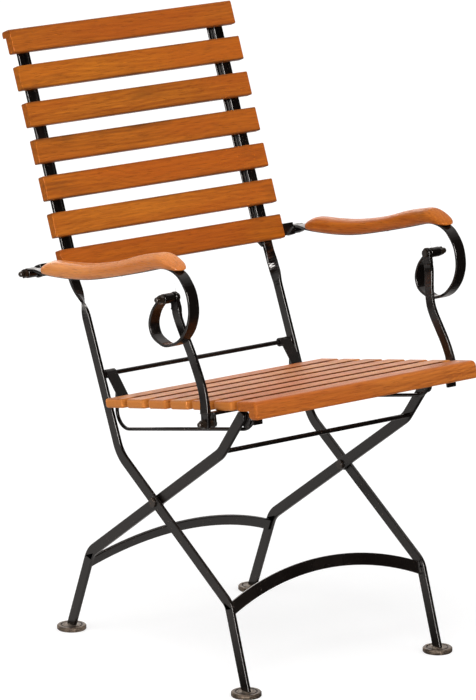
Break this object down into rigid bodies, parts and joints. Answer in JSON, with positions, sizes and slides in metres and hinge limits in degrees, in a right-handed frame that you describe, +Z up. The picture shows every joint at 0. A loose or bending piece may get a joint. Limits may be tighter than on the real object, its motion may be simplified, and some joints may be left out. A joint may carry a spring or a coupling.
{
  "type": "folding armchair",
  "caption": "Folding armchair: wooden slat seat and high slat back on a crossed frame of flat steel bar, with wooden arm rests on steel bars that curl into scrolls.",
  "frame": {"origin": "On the floor, at the middle of the chair's bounding box seen from above.", "axes": "The chair faces -Y, +Z is up, +X is the right-hand side seen from the front. Stored open, as in use."},
  "size_m": [0.5888, 0.6595, 0.9795],
  "materials": {
    "frame_paint": "near-black gloss paint on steel, rubbed bright along some edges",
    "wood": "oiled reddish-brown hardwood, satin, rounded edges",
    "foot": "grey-brown, dull, worn at the rim"
  },
  "bodies": {
    "back_frame": {"left_front_leg": "frame_paint", "right_front_leg": "frame_paint", "left_backing_strip": "frame_paint", "right_backing_strip": "frame_paint", "back_slat_1": "wood", "back_slat_2": "wood", "back_slat_3": "wood", "back_slat_4": "wood", "back_slat_5": "wood", "back_slat_6": "wood", "back_slat_7": "wood", "back_slat_screws": "frame_paint", "left_arm_bracket": "frame_paint", "right_arm_bracket": "frame_paint", "front_stretcher": "frame_paint", "left_front_foot": "foot", "right_front_foot": "foot", "leg_pivot_rivets": "frame_paint", "leg_pivot_washers": "frame_paint", "seat_hinge_rod": "frame_paint", "seat_hinge_washers": "frame_paint", "arm_hinge_bolts": "frame_paint", "arm_hinge_nuts": "frame_paint"},
    "rear_leg_frame": {"left_rear_leg": "frame_paint", "right_rear_leg": "frame_paint", "rear_stretcher": "frame_paint", "leg_cross_rod": "frame_paint", "left_rear_foot": "foot", "right_rear_foot": "foot", "slide_bosses": "frame_paint"},
    "seat": {"left_seat_rail": "frame_paint", "right_seat_rail": "frame_paint", "seat_slat_1": "wood", "seat_slat_2": "wood", "seat_slat_3": "wood", "seat_slat_4": "wood", "seat_slat_5": "wood", "seat_slat_6": "wood", "seat_nose_slat": "wood", "seat_slat_screws": "frame_paint", "left_guide_rod": "frame_paint", "right_guide_rod": "frame_paint", "left_strut_bracket": "frame_paint", "right_strut_bracket": "frame_paint"},
    "left_arm": {"left_arm_bar": "frame_paint", "left_arm_rest": "wood", "left_arm_screws": "frame_paint", "left_strut_bolt": "frame_paint", "left_strut_nut": "frame_paint"},
    "left_strut": {"left_strut": "frame_paint", "left_strut_foot_bolt": "frame_paint"},
    "right_arm": {"right_arm_bar": "frame_paint", "right_arm_rest": "wood", "right_arm_screws": "frame_paint", "right_strut_bolt": "frame_paint", "right_strut_nut": "frame_paint"},
    "right_strut": {"right_strut": "frame_paint", "right_strut_foot_bolt": "frame_paint"}
  },
  "joints": [
    {"name": "seat_fold", "type": "hinge", "parent": "back_frame", "child": "seat", "pos_m": [0, 0.11032, 0.4454], "axis": [-1, 0, 0], "range_deg": [0, 98]},
    {"name": "leg_fold", "type": "hinge", "parent": "back_frame", "child": "rear_leg_frame", "pos_m": [0, -0.03028, 0.2645], "axis": [-1, 0, 0], "range_deg": [0, 67.98]},
    {"name": "left_arm_fold", "type": "hinge", "parent": "back_frame", "child": "left_arm", "pos_m": [-0.2695, 0.19432, 0.6085], "axis": [-1, 0, 0], "range_deg": [0, 96.42]},
    {"name": "left_strut_fold", "type": "hinge", "parent": "left_arm", "child": "left_strut", "pos_m": [-0.255, -0.16168, 0.6297], "axis": [1, 0, 0], "range_deg": [0, 86.83]},
    {"name": "right_arm_fold", "type": "hinge", "parent": "back_frame", "child": "right_arm", "pos_m": [0.2695, 0.19432, 0.6085], "axis": [-1, 0, 0], "range_deg": [0, 96.42]},
    {"name": "right_strut_fold", "type": "hinge", "parent": "right_arm", "child": "right_strut", "pos_m": [0.255, -0.16168, 0.6297], "axis": [1, 0, 0], "range_deg": [0, 86.83]}
  ],
  "couplings": [
    {"joint": "leg_fold", "follows": "seat_fold", "ratio": 0.69358},
    {"joint": "left_arm_fold", "follows": "seat_fold", "ratio": 0.98381},
    {"joint": "left_strut_fold", "follows": "seat_fold", "ratio": 0.88592},
    {"joint": "right_arm_fold", "follows": "seat_fold", "ratio": 0.98381},
    {"joint": "right_strut_fold", "follows": "seat_fold", "ratio": 0.88592}
  ]
}
